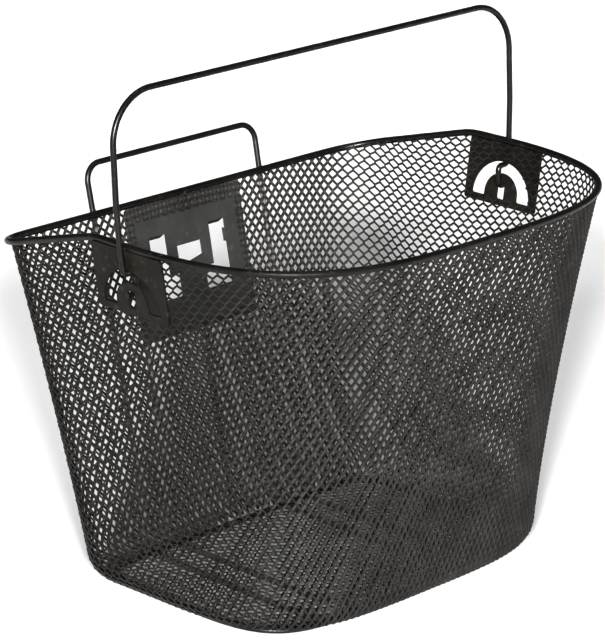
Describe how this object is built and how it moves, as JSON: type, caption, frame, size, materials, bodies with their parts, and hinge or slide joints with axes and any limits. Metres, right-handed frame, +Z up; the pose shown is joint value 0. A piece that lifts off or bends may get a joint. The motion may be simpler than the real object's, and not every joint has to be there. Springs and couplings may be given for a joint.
{
  "type": "handlebar basket",
  "caption": "Tapered expanded-metal bicycle basket with wire rim, rear hoop, adapter bracket plate and a swinging bail handle.",
  "frame": {"origin": "bottom centre of the object's box with the bail up, on the surface the bottom wires stand on", "axes": "+Z up, -Y towards the rounded front, +Y towards the handlebar side, +X to the right seen from the front"},
  "size_m": [0.3598, 0.2931, 0.3538],
  "materials": {
    "mesh": "semi-gloss black powder coat",
    "wire": "gloss black powder coat",
    "bail_wire": "gloss black powder coat",
    "bracket": "satin black powder coat",
    "side_plate": "semi-gloss black powder coat"
  },
  "bodies": {
    "basket": {"wall_mesh": "mesh", "bottom_mesh": "mesh", "rim_wire": "wire", "bottom_ring": "wire", "rear_hoop": "wire", "inner_support_left": "wire", "inner_support_right": "wire", "bracket_plate": "bracket", "side_plate_left": "side_plate", "side_plate_right": "side_plate"},
    "bail": {"bail_handle": "bail_wire"}
  },
  "joints": [
    {"name": "bail_hinge", "type": "hinge", "parent": "basket", "child": "bail", "pos_m": [0, -0.0019, 0.2266], "axis": [1, 0, 0], "range_deg": [-76, 76]}
  ]
}
